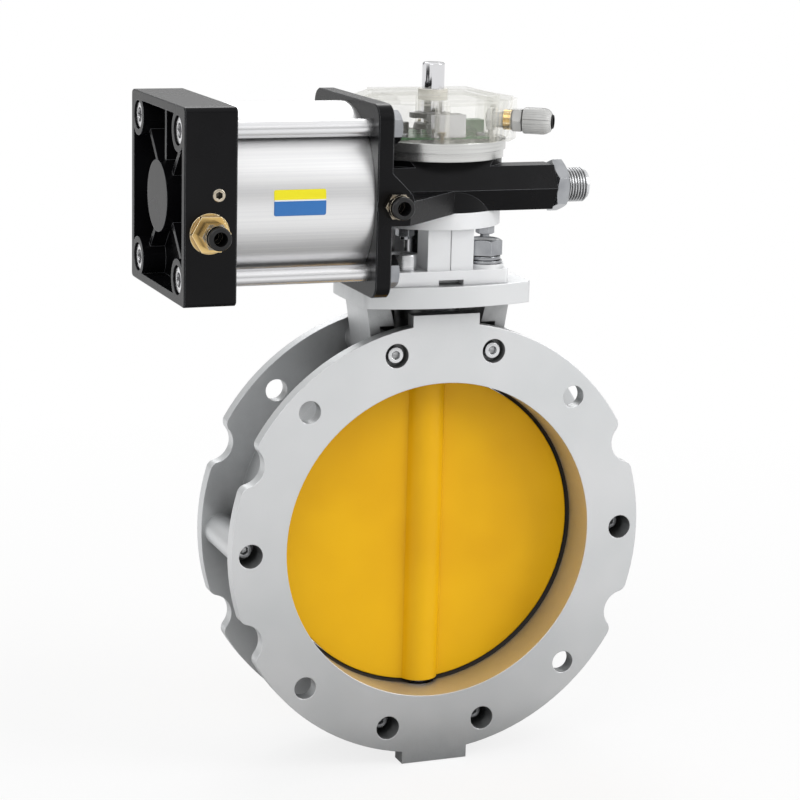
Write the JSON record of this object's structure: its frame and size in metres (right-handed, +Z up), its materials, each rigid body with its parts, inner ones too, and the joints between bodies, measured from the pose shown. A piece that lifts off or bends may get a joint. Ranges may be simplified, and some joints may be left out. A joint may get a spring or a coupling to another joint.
{
  "type": "pneumatic butterfly valve",
  "caption": "Flanged butterfly valve with split body and coated disc, turned a quarter by a rack and pinion air cylinder, with a clear switch box and cable gland on top.",
  "frame": {"origin": "centre of the front flange face, on the axis of the bore", "axes": "+X along the air cylinder axis, from its end cap towards the hexagonal bar; +Y through the bore, from the front flange to the rear flange; +Z up the stem to the switch box"},
  "size_m": [0.3145, 0.1552, 0.4346],
  "materials": {
    "cast_aluminium": "fine satin cast surface, machined faces",
    "switch_base_aluminium": "turned and brushed",
    "drawn_aluminium": "anodised satin",
    "disc_coating": "golden yellow semi-gloss coating",
    "black_casting": "semi-gloss black coating",
    "zinc_steel": "zinc plated",
    "stainless_steel": "ground",
    "bright_chrome": "polished",
    "bearing_bronze": "plain bearing bronze",
    "seat_rubber": "matt black",
    "white_guide_plastic": "plain",
    "plated_brass": "nickel plated",
    "bare_brass": "bare",
    "black_plastic": "moulded",
    "grey_nylon": "moulded",
    "clear_cover": "clear, faintly yellow",
    "board_green": "lacquered"
  },
  "bodies": {
    "valve": {"body_front_half": "cast_aluminium", "body_rear_half": "cast_aluminium", "seat_ring": "seat_rubber", "body_screws": "zinc_steel", "upper_bushing": "bearing_bronze", "lower_bushing": "bearing_bronze", "stem_seals": "seat_rubber", "bracket": "cast_aluminium", "bracket_bolts": "zinc_steel", "bracket_washers": "zinc_steel", "bracket_socket_screws": "zinc_steel", "collar_studs": "zinc_steel", "collar_nuts": "zinc_steel", "gear_housing": "black_casting", "bearing_plate": "cast_aluminium", "lower_pinion_bush": "bearing_bronze", "upper_pinion_bush": "bearing_bronze", "left_rack_bush": "bearing_bronze", "right_rack_bush": "bearing_bronze", "cylinder_tube": "drawn_aluminium", "tube_seals": "seat_rubber", "end_cap": "black_casting", "tie_bolts": "zinc_steel", "tie_nuts": "zinc_steel", "end_nipple": "zinc_steel", "cap_port_bushing": "bare_brass", "cap_port_fitting": "plated_brass", "head_port_fitting": "plated_brass", "bleed_screw": "plated_brass", "switch_base": "switch_base_aluminium", "switch_cover": "clear_cover", "cover_screws": "bare_brass", "base_screws": "zinc_steel", "gland_body": "grey_nylon", "gland_nut": "grey_nylon", "gland_locknut": "bare_brass", "spindle_bush": "white_guide_plastic", "circuit_board": "board_green", "board_screws": "zinc_steel", "terminal_block": "board_green", "switch_plate": "stainless_steel", "microswitches": "black_plastic"},
    "disc_train": {"disc": "disc_coating", "upper_stem": "stainless_steel", "lower_stem": "stainless_steel", "disc_grub_screws": "zinc_steel", "stem_coupling": "stainless_steel", "pinion": "stainless_steel", "retaining_ring": "zinc_steel", "indicator_spindle": "bright_chrome", "switch_cams": "black_plastic"},
    "piston_train": {"rack": "stainless_steel", "piston": "drawn_aluminium", "piston_seals": "seat_rubber", "piston_guide_ring": "white_guide_plastic", "piston_bolt": "zinc_steel"},
    "cap_collar": {"cap_port_release_collar": "black_plastic"},
    "head_collar": {"head_port_release_collar": "black_plastic"},
    "closed_lever": {"switch_lever_closed": "stainless_steel"},
    "open_lever": {"switch_lever_open": "stainless_steel"}
  },
  "joints": [
    {"name": "disc_turn", "type": "hinge", "parent": "valve", "child": "disc_train", "pos_m": [0, 0.033, 0], "axis": [0, 0, 1], "range_deg": [0, 90]},
    {"name": "rack_slide", "type": "slide", "parent": "valve", "child": "piston_train", "axis": [1, 0, 0], "range_m": [0, 0.0354]},
    {"name": "cap_collar_push", "type": "slide", "parent": "valve", "child": "cap_collar", "axis": [0, 1, 0], "range_m": [0, 0.0012], "stiffness_N_per_m": 400},
    {"name": "head_collar_push", "type": "slide", "parent": "valve", "child": "head_collar", "axis": [0, 1, 0], "range_m": [0, 0.0012], "stiffness_N_per_m": 400},
    {"name": "closed_lever_press", "type": "hinge", "parent": "valve", "child": "closed_lever", "pos_m": [-0.009, 0.0173, 0.2531], "axis": [0, 0, -1], "range_deg": [0, 5], "stiffness_Nm_per_rad": 0.02},
    {"name": "open_lever_press", "type": "hinge", "parent": "valve", "child": "open_lever", "pos_m": [-0.009, 0.0173, 0.2596], "axis": [0, 0, -1], "range_deg": [0, 5], "stiffness_Nm_per_rad": 0.02}
  ],
  "couplings": [
    {"joint": "rack_slide", "follows": "disc_turn", "m_per_rad": 0.0225}
  ]
}
